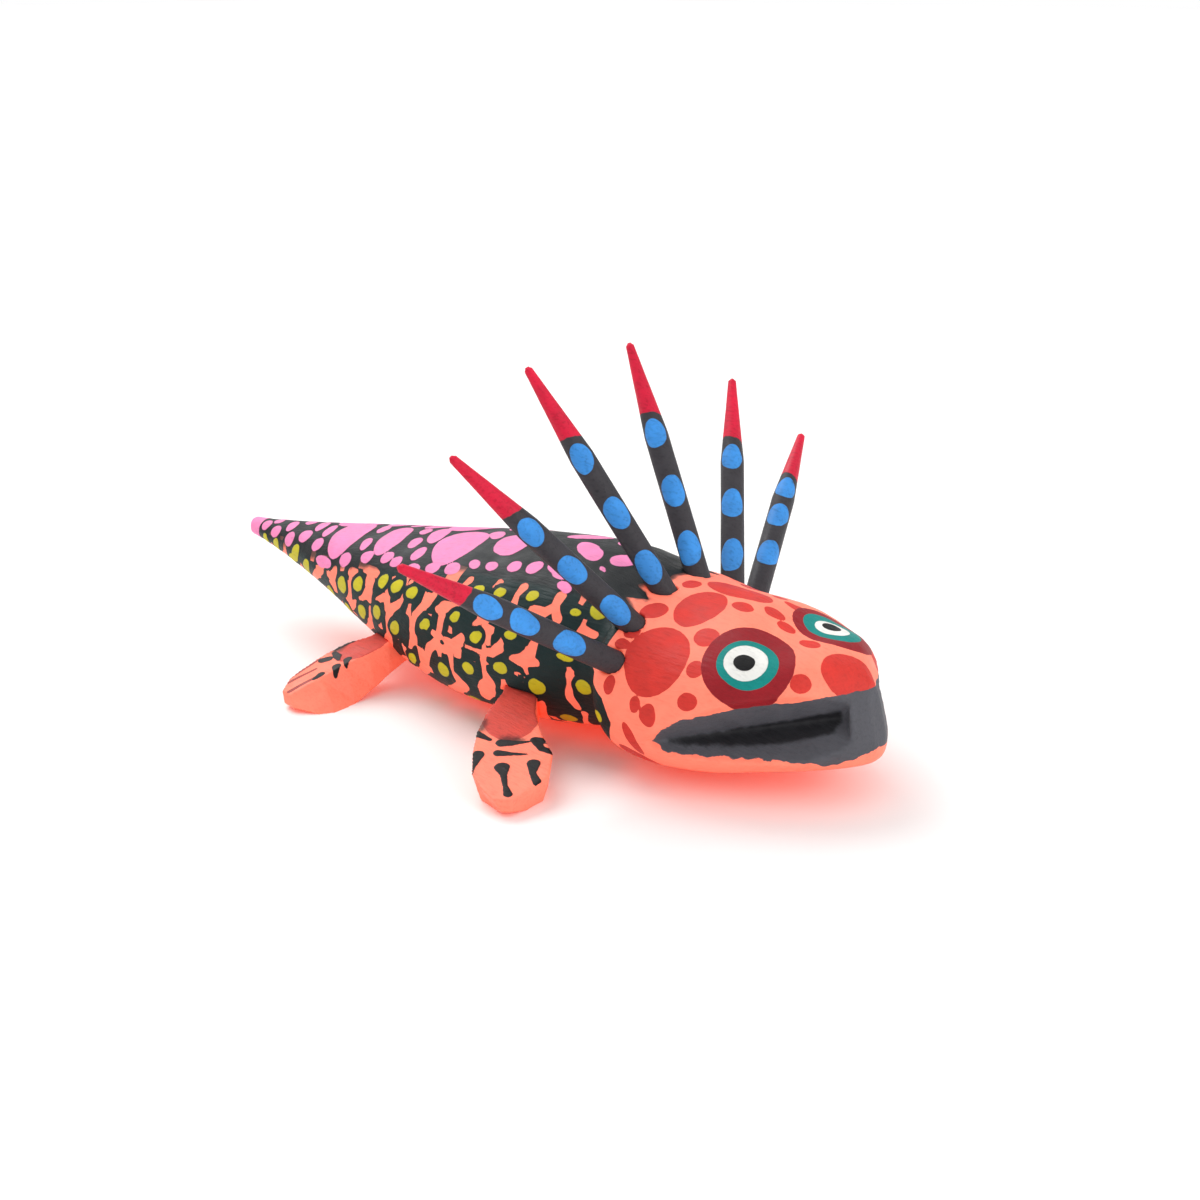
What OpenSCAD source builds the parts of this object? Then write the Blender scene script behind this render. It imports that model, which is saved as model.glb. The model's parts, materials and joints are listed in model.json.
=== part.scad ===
// Carved and painted axolotl: one carved block, four pinned legs, six push-fit gill rods.
// The nose points to -Y, the tail to +Y, and the feet stand on z = 0.

/* [Figure] */
// Length from the lower jaw to the tail tip
figure_length = 108.4; // [90:0.1:130]
// Width of the head at its rear rim
head_width = 33; // [28:0.5:38]
// Height of the highest point of the back
back_height = 22.7; // [20:0.1:27]

/* [Gill rods] */
// Diameter of each rod
rod_d = 3; // [2.4:0.1:3.4]
// Diameter of the blunt tip
tip_d = 1; // [0.6:0.1:1.6]
// Length of the tapered end
taper_length = 12.5; // [8:0.5:16]
// Depth of the hole that each rod plugs into
peg_depth = 7; // [5:0.5:7.5]
// Radial clearance between a rod and its hole
rod_play = 0.04; // [0.02:0.01:0.09]

/* [Legs] */
// Diameter of the hidden dowels
dowel_d = 2.2; // [1.6:0.1:2.4]
// Length of the hidden dowels
dowel_length = 9; // [7:0.5:10]
// Radial clearance of the glued dowels
dowel_play = 0.02; // [0.01:0.01:0.05]

/* [Mouth] */
// Rise of the upper bevel for each millimetre of depth
mouth_rise = 1.35; // [1:0.01:1.6]
// Fall of the lower bevel for each millimetre of depth
mouth_fall = 0.8; // [0.5:0.01:1.0]

/* [Hidden] */

CORAL = [1.0, 0.45, 0.36];
CHARCOAL = [0.22, 0.21, 0.23];
PINE = [0.82, 0.66, 0.45];
ROUND_FN = 48;

// The tables below are for a figure of 108.4 x 33 x 22.7, and these factors stretch them
grow = [head_width / 33, figure_length / 108.4, back_height / 22.7];
function grown(p) = [p.x * grow.x, p.y * grow.y, p.z * grow.z];

// Columns of a body section: place along the length, half width, top, bottom, widest height,
// roundness above and below it, and how far the section leans back for each 10 mm of height
SECTIONS = [
    [-53.7,  1.4, 14.7,  6.9,  9.2, 2.3, 2.2, 2.3],
    [-53.0,  2.8, 15.7,  5.6,  9.2, 2.6, 2.3, 2.6],
    [-51.7,  5.0, 16.7,  4.8,  9.3, 3.0, 2.4, 2.4],
    [-48.7,  8.7, 17.7,  3.9,  9.4, 3.2, 2.4, 1.8],
    [-43.9, 12.2, 18.2,  2.9,  9.5, 2.9, 2.5, 1.2],
    [-37.9, 15.1, 20.3,  1.5,  9.6, 2.0, 2.6, 0.4],
    [-31.9, 16.2, 20.9,  0.8,  9.9, 1.7, 2.7, 0],
    [-26.9, 16.5, 21.2,  1.1, 10.6, 1.8, 2.6, 0],
    [-24.6, 15.8, 21.3,  2.2, 11.6, 1.9, 2.5, 0],
    [-22.4, 13.5, 21.7,  2.4, 12.2, 2.0, 2.5, 0],
    [-15.9, 14.1, 22.7,  1.4, 11.6, 2.2, 2.7, 0],
    [ -7.9, 14.5, 22.5,  0.8, 11.0, 2.2, 2.9, 0],
    [  2.1, 13.9, 21.4,  0.8, 10.6, 2.2, 3.0, 0],
    [ 12.1, 12.1, 19.9,  1.9, 10.8, 2.1, 2.9, 0],
    [ 22.1,  9.6, 18.4,  4.0, 11.2, 2.1, 2.6, 0],
    [ 32.1,  6.8, 16.9,  6.8, 11.7, 2.0, 2.2, 0],
    [ 42.1,  4.0, 15.4,  9.3, 12.1, 2.0, 2.0, 0],
    [ 49.6,  2.2, 14.4, 10.9, 12.5, 2.0, 2.0, 0],
    [ 54.2,  1.1, 14.0, 11.5, 12.7, 2.0, 2.0, 0]];
SECTION_STEPS = 3;
RING_POINTS = 56;

// Gill rods on the left side: where each leaves the head, and where its tip is
GILL_LOW = [[15.3, -25.8, 15.5], [38.5, -16.4, 30.4]];
GILL_MIDDLE = [[10.2, -25.6, 18.4], [26.6, -13.0, 39.6]];
GILL_HIGH = [[3.6, -24.8, 21.3], [9.6, -9.2, 46.5]];

// The mouth's deepest line on the left side, from its corner to where the front of the snout is left whole
MOUTH_CORNER = [15.1, -32.7, 6.8];
MOUTH_FRONT = [2.0, -50.3, 10.4];
MOUTH_REACH = 12;
MOUTH_OVERRUN = 0.08;
MOUTH_END_SLANT = 0.25;

// Legs on the left side: where the axis crosses the flank, and its sweep ahead of sideways
FRONT_ROOT = [13, -11];
FRONT_SWEEP = 37.4;
REAR_ROOT = [10.5, 16.5];
REAR_SWEEP = -10.9;
// Columns of a leg section: distance from the root, back and front edges on top, top height,
// back and front edges underneath, underside height
FRONT_LEG = [
    [-4.5, -2.2, 1.8, 8.2, -2.2, 1.9, 4.0],
    [ 1.0, -2.4, 1.8, 7.2, -2.2, 1.9, 2.3],
    [ 5.0, -3.9, 1.9, 6.2, -3.0, 1.7, 0.9],
    [ 9.0, -4.8, 2.9, 5.2, -3.9, 2.3, 0],
    [13.0, -4.9, 4.5, 4.2, -4.5, 3.9, 0],
    [17.0, -4.6, 4.4, 3.3, -3.6, 3.6, 0],
    [19.6, -3.3, 2.5, 2.7, -1.6, 1.8, 0],
    [21.6, -1.6, 0.6, 2.2, -0.7, 0.3, 0.7]];
REAR_LEG = [
    [-6.0, -2.1, 1.6, 8.0, -2.1, 1.8, 5.0],
    [ 0.5, -2.4, 1.9, 6.4, -2.2, 2.5, 2.5],
    [ 3.3, -3.9, 1.5, 5.6, -2.4, 2.9, 1.2],
    [ 6.5, -4.2, 0.9, 4.7, -2.6, 3.4, 0],
    [10.2, -3.8, 0.6, 3.6, -3.0, 4.4, 0],
    [12.4, -3.3, 0.5, 3.0, -2.8, 3.6, 0],
    [14.6, -1.6, 0.3, 2.3, -1.2, 1.2, 0.7]];
FRONT_DOWEL = [-4.5, 5.7, 13];
REAR_DOWEL = [-6.0, 6.4, 14];
SEAT_PLAY = 0.05;
SEAT_OVERRUN = 8;

function between(a, b, c, d, t) =
    0.5 * (2 * b + (c - a) * t + (2 * a - 5 * b + 4 * c - d) * t * t
        + (3 * b - a - 3 * c + d) * t * t * t);

// Rows of a table, with steps extra rows on a smooth curve through them
function smooth_rows(rows, steps) =
    let (last = len(rows) - 1)
    [for (k = [0 : last * steps])
        let (i = min(floor(k / steps), last - 1), t = k / steps - i)
        between(rows[max(i - 1, 0)], rows[i], rows[i + 1], rows[min(i + 2, last)], t)];

function signed_power(v, p) = sign(v) * pow(abs(v), p);

function section_ring(s) = [for (k = [0 : RING_POINTS - 1])
    let (a = 360 * k / RING_POINTS,
        high = sin(a) >= 0,
        bend = 2 / (high ? s[5] : s[6]),
        reach = high ? s[2] - s[4] : s[4] - s[3],
        z = s[4] + reach * signed_power(sin(a), bend))
    grown([s[1] * signed_power(cos(a), bend), s[0] + s[7] * (z - s[4]) / 10, z])];

// A closed skin through rings that hold the same number of points
module loft(rings) {
    n = len(rings[0]);
    last = len(rings) - 1;
    polyhedron(
        points = [for (ring = rings) each ring],
        faces = [
            [for (k = [n - 1 : -1 : 0]) k],
            for (i = [0 : last - 1], k = [0 : n - 1]) each
                let (a = i * n + k, b = i * n + (k + 1) % n)
                [[a, b, a + n], [b, b + n, a + n]],
            [for (k = [0 : n - 1]) last * n + k]]);
}

// Places children on a rod's or dowel's axis, which is their Z axis
module along(base, direction) {
    translate(base)
        rotate([0, acos(direction.z / norm(direction)), atan2(direction.y, direction.x)])
            children();
}

// One side of the mouth: a wedge whose edge runs from a to b, which opens outwards and ends in a
// slanted wall, so that the front of the snout stays whole
module mouth_wedge(a, b, out) {
    up = MOUTH_REACH * [out.x, out.y, mouth_rise];
    down = MOUTH_REACH * [out.x, out.y, -mouth_fall];
    lean = MOUTH_REACH * MOUTH_END_SLANT * (b - a) / norm(b - a);
    loft([[a, a + up, a + down], [b, b + up + lean, b + down + lean]]);
}

module mouth() {
    corner = grown(MOUTH_CORNER);
    front = grown(MOUTH_FRONT);
    run = front - corner;
    out = [-run.y, run.x] / norm([run.x, run.y]);
    for (side = [0, 1])
        mirror([side, 0, 0])
            mouth_wedge(corner - MOUTH_OVERRUN * run, front, out);
}

function leg_ring(s, play) =
    [[s[0], s[1] - play, s[3] + play], [s[0], s[2] + play, s[3] + play],
     [s[0], s[5] + play, s[6] - play], [s[0], s[4] - play, s[6] - play]];

// Turns a leg's own axes (outwards, forwards, up) to the left side of the figure
module at_root(root, sweep) {
    translate([root.x * grow.x, root.y * grow.y, 0])
        rotate([0, 0, -sweep])
            mirror([0, 1, 0])
                children();
}

module leg_dowel(dowel, play) {
    translate([dowel[0], 0, dowel[1]])
        rotate([0, 90 + dowel[2], 0])
            cylinder(d = dowel_d + 2 * play, h = dowel_length + 2 * play, center = true,
                $fn = ROUND_FN);
}

module leg(root, sweep, sections, dowel) {
    at_root(root, sweep)
        difference() {
            loft([for (s = sections) leg_ring(s, 0)]);
            leg_dowel(dowel, dowel_play);
        }
}

// The flat-bottomed notch in the flank, and the dowel's hole in its floor
module leg_seat(root, sweep, sections, dowel) {
    outer = sections[1] + [SEAT_OVERRUN, 0, 0, 0, 0, 0, 0];
    at_root(root, sweep) {
        loft([leg_ring(sections[0], SEAT_PLAY), leg_ring(sections[1], SEAT_PLAY),
            leg_ring(outer, SEAT_PLAY)]);
        leg_dowel(dowel, dowel_play);
    }
}

module gill(line) {
    base = grown(line[0]);
    reach = grown(line[1]) - base;
    straight = norm(reach) - taper_length;
    along(base, reach)
        rotate_extrude($fn = ROUND_FN)
            polygon([[0, -peg_depth], [rod_d / 2, -peg_depth], [rod_d / 2, straight],
                [tip_d / 2, norm(reach)], [0, norm(reach)]]);
}

module gill_bore(line) {
    base = grown(line[0]);
    along(base, grown(line[1]) - base)
        translate([0, 0, -peg_depth])
            cylinder(d = rod_d + 2 * rod_play, h = 2 * peg_depth, $fn = ROUND_FN);
}

module body() {
    color(CORAL)
        difference() {
            loft([for (s = smooth_rows(SECTIONS, SECTION_STEPS)) section_ring(s)]);
            mouth();
            for (side = [0, 1])
                mirror([side, 0, 0]) {
                    leg_seat(FRONT_ROOT, FRONT_SWEEP, FRONT_LEG, FRONT_DOWEL);
                    leg_seat(REAR_ROOT, REAR_SWEEP, REAR_LEG, REAR_DOWEL);
                    gill_bore(GILL_LOW);
                    gill_bore(GILL_MIDDLE);
                    gill_bore(GILL_HIGH);
                }
        }
}

module front_left_leg() { color(CORAL) leg(FRONT_ROOT, FRONT_SWEEP, FRONT_LEG, FRONT_DOWEL); }
module rear_left_leg() { color(CORAL) leg(REAR_ROOT, REAR_SWEEP, REAR_LEG, REAR_DOWEL); }
module front_right_leg() { mirror([1, 0, 0]) front_left_leg(); }
module rear_right_leg() { mirror([1, 0, 0]) rear_left_leg(); }

module front_left_dowel() { color(PINE) at_root(FRONT_ROOT, FRONT_SWEEP) leg_dowel(FRONT_DOWEL, 0); }
module rear_left_dowel() { color(PINE) at_root(REAR_ROOT, REAR_SWEEP) leg_dowel(REAR_DOWEL, 0); }
module front_right_dowel() { mirror([1, 0, 0]) front_left_dowel(); }
module rear_right_dowel() { mirror([1, 0, 0]) rear_left_dowel(); }

module gill_left_low() { color(CHARCOAL) gill(GILL_LOW); }
module gill_left_middle() { color(CHARCOAL) gill(GILL_MIDDLE); }
module gill_left_high() { color(CHARCOAL) gill(GILL_HIGH); }
module gill_right_low() { mirror([1, 0, 0]) gill_left_low(); }
module gill_right_middle() { mirror([1, 0, 0]) gill_left_middle(); }
module gill_right_high() { mirror([1, 0, 0]) gill_left_high(); }

body();
front_right_leg();
front_left_leg();
rear_right_leg();
rear_left_leg();
front_right_dowel();
front_left_dowel();
rear_right_dowel();
rear_left_dowel();
gill_right_low();
gill_right_middle();
gill_right_high();
gill_left_low();
gill_left_middle();
gill_left_high();
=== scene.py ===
"""Looks for a small carved and hand-painted axolotl figure.

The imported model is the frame: every place and size comes from it. The body and the legs are carved again as
fine meshes from their own solids, the gill rods are whittled by a Geometry Nodes tree, and every painted mark
is a distance field in millimetres that the materials turn into a hand-painted edge.
"""
from __future__ import annotations

import json
import logging
import math
from collections.abc import Sequence
from dataclasses import dataclass, field
from enum import Enum

import bmesh
import bpy
import numpy as np
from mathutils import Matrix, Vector

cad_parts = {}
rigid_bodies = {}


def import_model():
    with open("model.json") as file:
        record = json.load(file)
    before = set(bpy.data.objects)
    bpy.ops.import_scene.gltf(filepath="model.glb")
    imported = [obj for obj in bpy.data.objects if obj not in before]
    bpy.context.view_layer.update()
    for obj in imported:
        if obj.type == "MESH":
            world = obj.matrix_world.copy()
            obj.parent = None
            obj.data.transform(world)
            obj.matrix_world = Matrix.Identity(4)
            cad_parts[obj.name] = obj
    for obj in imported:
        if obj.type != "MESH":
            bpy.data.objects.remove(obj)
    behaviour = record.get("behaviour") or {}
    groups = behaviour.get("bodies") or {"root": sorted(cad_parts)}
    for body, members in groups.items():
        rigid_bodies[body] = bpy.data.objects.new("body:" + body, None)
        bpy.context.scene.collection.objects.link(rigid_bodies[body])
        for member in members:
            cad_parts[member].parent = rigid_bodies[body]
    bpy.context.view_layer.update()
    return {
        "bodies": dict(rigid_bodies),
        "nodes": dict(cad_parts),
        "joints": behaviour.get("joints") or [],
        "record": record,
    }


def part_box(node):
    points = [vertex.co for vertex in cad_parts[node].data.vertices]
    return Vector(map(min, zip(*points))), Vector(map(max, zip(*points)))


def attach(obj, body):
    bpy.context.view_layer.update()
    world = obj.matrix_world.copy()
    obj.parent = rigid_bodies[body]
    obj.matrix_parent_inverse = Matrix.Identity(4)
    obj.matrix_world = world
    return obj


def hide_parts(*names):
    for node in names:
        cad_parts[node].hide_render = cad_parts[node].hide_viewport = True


LOG = logging.getLogger("axolotl")
MM = 0.001
FIGURE = "figure"
FAR = 1e3
TINY = 1e-6
LEAST_SHARE = 1e-4

Tree = bpy.types.NodeTree
Socket = bpy.types.NodeSocket
Mesh = bpy.types.Mesh
Material = bpy.types.Material
Piece = bpy.types.Object
Feeds = dict[str | int, object]
Array = np.ndarray
Fields = dict[str, Array]
Triple = tuple[float, float, float]
Line = tuple[tuple[float, float], ...]


class Side(Enum):
    """The animal's own side, with its sign along x."""

    RIGHT = -1
    LEFT = 1


class Paint(Enum):
    """The maker's paints, as red, green and blue out of 255."""

    CORAL = (226, 132, 110)
    RED = (206, 36, 31)
    MAROON = (142, 20, 30)
    TEAL = (0, 128, 122)
    WHITE = (226, 225, 220)
    PUPIL = (12, 12, 14)
    CHARCOAL = (80, 80, 86)
    # A near black paint, which is also laid as painted shade deep in the mouth's groove.
    SOOT = (17, 17, 20)
    BOTTLE = (6, 34, 34)
    PINK = (243, 134, 184)
    YELLOW = (202, 190, 30)
    SKY = (58, 140, 216)
    CRIMSON = (208, 20, 56)
    ROD = (56, 54, 58)
    WOOD = (214, 172, 118)
    FLOOR = (250, 249, 248)
    # The colour of the painted glow that the coral ground gives off by itself.
    GLOW = (255, 70, 36)
    NO_LIGHT = (0, 0, 0)

    def linear(self) -> tuple[float, float, float, float]:
        """Returns the paint in the linear colours that a shader socket takes."""
        knee, slope, offset, power, top = 0.04045, 12.92, 0.055, 2.4, 255.0
        parts = [v / top for v in self.value]
        flat = [v / slope if v <= knee else ((v + offset) / (1 + offset)) ** power for v in parts]
        return (flat[0], flat[1], flat[2], 1.0)


# Marks, in the coordinates of the surface that they are painted on

# How an outline strays: waves round the spot, turn of each with the seed, and strength.
WOBBLES = ((2, 1.7, 0.55), (3, 2.9, 0.3), (5, 4.3, 0.15))
SEED_ALONG = 0.73
SEED_AROUND = 0.19
# How a mark on the other side strays: waves along and around, and shares of its angle and its size.
DRIFT_ALONG = 3.1
DRIFT_AROUND = 0.37
DRIFT_ANGLE = 3
DRIFT_SIZE = 0.3


@dataclass(frozen=True)
class Spot:
    """An oval of paint.

    Args:
        along: place along the piece in millimetres.
        around: place around it, in degrees on the body and in millimetres on a leg or a rod.
        length: size along the piece in millimetres.
        width: size across in millimetres.
        slant: turn of the oval in degrees, from along towards around.
    """

    along: float
    around: float
    length: float
    width: float
    slant: float = 0.0


@dataclass(frozen=True)
class Stroke:
    """A brush stroke through points of (along, around, width of the stroke in millimetres)."""

    points: tuple[Triple, ...]


def ovals(*rows: Sequence[float]) -> tuple[Spot, ...]:
    """Returns a spot for each row of along, around, length, width and, where it is turned, slant."""
    return tuple(Spot(*row) for row in rows)


def brushed(*lines: tuple[Triple, ...]) -> tuple[Stroke, ...]:
    """Returns a stroke for each line of points."""
    return tuple(Stroke(line) for line in lines)


@dataclass(frozen=True)
class Chart:
    """The surface of a piece unrolled.

    Args:
        along: place of every vertex along the piece in millimetres.
        around: place of every vertex around it in degrees, from -180 to 180.
        reach: distance of every vertex from the axis in millimetres.
        places: the vertices themselves, in millimetres.
        search: how much further than the nearest vertex another may lie, in millimetres.
        hole_depth: how far below the outermost of those a vertex counts as lying in a hole.
    """

    along: Array
    around: Array
    reach: Array
    places: Array
    search: float = 0.4
    hole_depth: float = 0.5

    def offset(self, along: float, around: float) -> tuple[Array, Array]:
        """Returns how far every vertex lies from a place, along and around, in millimetres.

        Args:
            along: the place along the piece.
            around: the place around it in degrees.
        """
        return self.along - along, self._turn(around) * self.reach[self._outermost(along, around)]

    def true_offset(self, along: float, around: float) -> tuple[Array, Array]:
        """Returns the same as straight distances through space, which keep a round spot round."""
        straight = np.linalg.norm(self.places - self.places[self._outermost(along, around)], axis=1)
        u, v = self.offset(along, around)
        grow = straight / np.maximum(np.hypot(u, v), TINY)
        return u * grow, v * grow

    def _turn(self, around: float) -> Array:
        """Returns how far round every vertex lies from an angle, in radians."""
        return np.radians((self.around - around + 180) % 360 - 180)

    def _outermost(self, along: float, around: float) -> int:
        """Returns the vertex at a place, on the outside of the piece and not in a hole drilled into it."""
        near = np.hypot(self.along - along, self._turn(around) * self.reach.max())
        outside = self.reach[near < near.min() + self.search].max() - self.hole_depth
        return int(np.argmin(np.where(self.reach > outside, near, np.inf)))


@dataclass(frozen=True)
class FlatChart:
    """A surface whose two coordinates are both in millimetres, such as the top of a leg."""

    along: Array
    around: Array

    def offset(self, along: float, around: float) -> tuple[Array, Array]:
        """Returns how far every vertex lies from a place, along and around, in millimetres."""
        return self.along - along, self.around - around

    def true_offset(self, along: float, around: float) -> tuple[Array, Array]:
        """Returns the same, because both coordinates are true distances already."""
        return self.offset(along, around)


def spot_distance(chart: Chart | FlatChart, spot: Spot, wobble: float) -> Array:
    """Returns the distance in millimetres of every vertex from a spot's edge, below zero inside.

    Args:
        chart: the surface.
        spot: the oval.
        wobble: the largest share of the radius that the hand-painted outline strays.
    """
    along, across = chart.true_offset(spot.along, spot.around)
    turn = math.radians(spot.slant)
    u = along * math.cos(turn) + across * math.sin(turn)
    v = across * math.cos(turn) - along * math.sin(turn)
    seed = spot.along * SEED_ALONG + spot.around * SEED_AROUND
    angle = np.arctan2(v, u)
    strayed = sum(np.sin(waves * angle + spin * seed) * strength for waves, spin, strength in WOBBLES)
    size = 1 + wobble * strayed
    share = np.hypot(u / (spot.length / 2), v / (spot.width / 2)) / size
    return np.hypot(u, v) * (1 - 1 / np.maximum(share, LEAST_SHARE))


def stroke_distance(chart: Chart | FlatChart, stroke: Stroke) -> Array:
    """Returns the distance in millimetres of every vertex from a stroke's edge, below zero inside."""
    best = np.full(chart.along.shape, FAR)
    for (y0, a0, w0), (y1, a1, w1) in zip(stroke.points, stroke.points[1:]):
        from_u, from_v = chart.offset(y0, a0)
        to_u, to_v = chart.offset(y1, a1)
        run_u, run_v = from_u - to_u, from_v - to_v
        square = np.maximum(run_u * run_u + run_v * run_v, TINY)
        share = np.clip((from_u * run_u + from_v * run_v) / square, 0, 1)
        gap = np.hypot(from_u - share * run_u, from_v - share * run_v)
        best = np.minimum(best, gap - (w0 + (w1 - w0) * share) / 2)
    return best


def nearest_spot(chart: Chart | FlatChart, spots: Sequence[Spot], wobble: float) -> Array:
    """Returns the distance of every vertex from the nearest of several spots."""
    best = np.full(chart.along.shape, FAR)
    for spot in spots:
        best = np.minimum(best, spot_distance(chart, spot, wobble))
    return best


def nearest_stroke(chart: Chart | FlatChart, strokes: Sequence[Stroke]) -> Array:
    """Returns the distance of every vertex from the nearest of several strokes."""
    best = np.full(chart.along.shape, FAR)
    for stroke in strokes:
        best = np.minimum(best, stroke_distance(chart, stroke))
    return best


def drift(along: float, around: float, amount: float) -> float:
    """Returns a small shift that depends only on a mark's place, so that the two sides differ a little."""
    return amount * math.sin(DRIFT_ALONG * along + DRIFT_AROUND * around)


def other_side(spots: Sequence[Spot], slide: float, lower: float, amount: float) -> tuple[Spot, ...]:
    """Returns the spots of one side painted again by hand on the other.

    Args:
        spots: the spots of the right side.
        slide: how far along the body the whole row moves, in millimetres.
        lower: how far down the side it moves, in degrees.
        amount: how far each spot strays, in millimetres.
    """
    return tuple(
        Spot(
            s.along + slide + drift(s.along, s.around, amount),
            -s.around - lower - DRIFT_ANGLE * drift(s.around, s.along, amount),
            s.length * (1 + DRIFT_SIZE * drift(s.length, s.along, amount)),
            s.width,
            -s.slant,
        )
        for s in spots
    )


def other_side_strokes(strokes: Sequence[Stroke], amount: float) -> tuple[Stroke, ...]:
    """Returns the strokes of one side painted again by hand on the other."""
    def shift(y: float, a: float, width: float) -> Triple:
        """Returns one point of a stroke moved to the other side."""
        return y + drift(y, a, amount), -a - DRIFT_ANGLE * drift(a, y, amount), width

    return tuple(Stroke(tuple(shift(*point) for point in stroke.points)) for stroke in strokes)


# Node trees

LITTLE_DETAIL = 2.0
SOME_DETAIL = 3.0
MUCH_DETAIL = 4.0


class Wires:
    """A node tree, with the ways of adding to it that this scene needs."""

    def __init__(self, tree: Tree) -> None:
        """Keeps the tree."""
        self.tree = tree

    def name_ends(self, way: str, kinds: dict[str, str]) -> None:
        """Names the tree's own sockets.

        Args:
            way: INPUT or OUTPUT.
            kinds: their names and kinds.
        """
        for name, kind in kinds.items():
            self.tree.interface.new_socket(name, in_out=way, socket_type=f"NodeSocket{kind}")

    def fill(self, node: bpy.types.Node, feeds: Feeds) -> None:
        """Fills inputs of a node, by name or place, each with a link from a socket or with a plain value."""
        for name, source in feeds.items():
            if isinstance(source, Socket):
                self.tree.links.new(source, node.inputs[name])
            else:
                node.inputs[name].default_value = source

    def add(self, kind: str, feeds: Feeds | None = None, **settings: object) -> bpy.types.Node:
        """Adds a node.

        Args:
            kind: the node's class name.
            feeds: its inputs by name or place, each a socket or a plain value.
            settings: its properties.

        Returns:
            The new node.
        """
        node = self.tree.nodes.new(kind)
        for name, value in settings.items():
            setattr(node, name, value)
        self.fill(node, feeds or {})
        return node

    def calc(self, operation: str, *values: object) -> Socket:
        """Returns the result of a Math node, whose values are sockets or numbers."""
        return self.add("ShaderNodeMath", dict(enumerate(values)), operation=operation).outputs[0]

    def plus(self, first: object, second: object) -> Socket:
        """Returns the sum of two values."""
        return self.calc("ADD", first, second)

    def less(self, first: object, second: object) -> Socket:
        """Returns the first value less the second."""
        return self.calc("SUBTRACT", first, second)

    def times(self, first: object, second: object) -> Socket:
        """Returns the product of two values."""
        return self.calc("MULTIPLY", first, second)

    def stretch(self, place: Socket, scale: Triple) -> Socket:
        """Returns a place multiplied along each axis, which draws a pattern out along the smaller one."""
        return self.add("ShaderNodeVectorMath", {0: place, 1: scale}, operation="MULTIPLY").outputs[0]

    def grow(self, vector: Socket, amount: object) -> Socket:
        """Returns a vector or a colour multiplied by one value."""
        return self.add("ShaderNodeVectorMath", {0: vector, "Scale": amount}, operation="SCALE").outputs[0]

    def noise(self, place: Socket, scale: object, detail: float) -> Socket:
        """Returns the value of a noise texture.

        Args:
            place: the coordinates' socket.
            scale: how many features there are in a unit, a socket or a number.
            detail: how much fine detail it has.
        """
        feeds = {"Vector": place, "Scale": scale, "Detail": detail}
        return self.add("ShaderNodeTexNoise", feeds).outputs["Fac"]

    def blend(self, share: object, under: object, over: object) -> Socket:
        """Returns the mix of two colours."""
        return self.add("ShaderNodeMix", {0: share, 6: under, 7: over}, data_type="RGBA").outputs[2]

    def carry(self, value: object, *ends: object, smooth: bool = False) -> Socket:
        """Returns a value carried from one range to another.

        Args:
            value: the value's socket.
            ends: the lowest and highest value in, and the lowest and highest value out.
            smooth: whether it eases in and out.
        """
        feeds = dict(enumerate((value, *ends)))
        easing = "SMOOTHSTEP" if smooth else "LINEAR"
        return self.add("ShaderNodeMapRange", feeds, interpolation_type=easing).outputs[0]


class ShaderGroup(Wires):
    """A shader node group with named sockets, drawn in each object's own coordinates."""

    def __init__(self, name: str, inputs: dict[str, str], outputs: dict[str, str]) -> None:
        """Makes the group.

        Args:
            name: the group's name.
            inputs: socket names and kinds, Float, Color or Vector.
            outputs: the same for what it gives.
        """
        super().__init__(bpy.data.node_groups.new(name, "ShaderNodeTree"))
        self.name_ends("INPUT", inputs)
        self.name_ends("OUTPUT", outputs)
        self.ends = self.add("NodeGroupInput").outputs
        self.place = self.add("ShaderNodeTexCoord").outputs["Object"]

    def close(self, results: dict[str, Socket]) -> Tree:
        """Gives the group its results.

        Returns:
            The group's tree.
        """
        self.add("NodeGroupOutput", results)
        return self.tree


@dataclass(frozen=True)
class PaintLook:
    """The look that all the paint shares. A scale is a number of features in a millimetre.

    Args:
        streak_scale: scale of the brush's streaks.
        streak_stretch: how they are drawn out along the figure.
        streak_range: the noise values between which a streak darkens the paint.
        cloud_scale: scale of the paint's clouds.
        cloud_range: the noise values between which a cloud lightens the paint.
        cloud_light: how many times brighter a cloud is than the paint.
        gloss_range: the noise values between which the roughness rises.
        roughness: its lowest and highest value.
        grit_scale: scale of the grit in the paint.
        streak_height: share of the streaks in the paint's height.
        grit_height: share of the grit.
        brush_depth: depth of the whole in millimetres.
        grain_scale: scale of the wood's fibres.
        grain_stretch: how they are drawn out along the figure.
        grain_range: the noise values between which a fibre rises.
        shine: strength of the paint's reflections.
    """

    streak_scale: float = 3.2
    streak_stretch: Triple = (1.0, 0.25, 1.0)
    streak_range: tuple[float, float] = (0.5, 0.8)
    cloud_scale: float = 0.35
    cloud_range: tuple[float, float] = (0.45, 0.75)
    cloud_light: float = 1.5
    gloss_range: tuple[float, float] = (0.3, 0.7)
    roughness: tuple[float, float] = (0.42, 0.62)
    grit_scale: float = 7.0
    streak_height: float = 0.7
    grit_height: float = 0.3
    brush_depth: float = 0.08
    grain_scale: float = 1.4
    grain_stretch: Triple = (1.0, 0.07, 1.0)
    grain_range: tuple[float, float] = (0.35, 0.65)
    shine: float = 0.22


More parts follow.
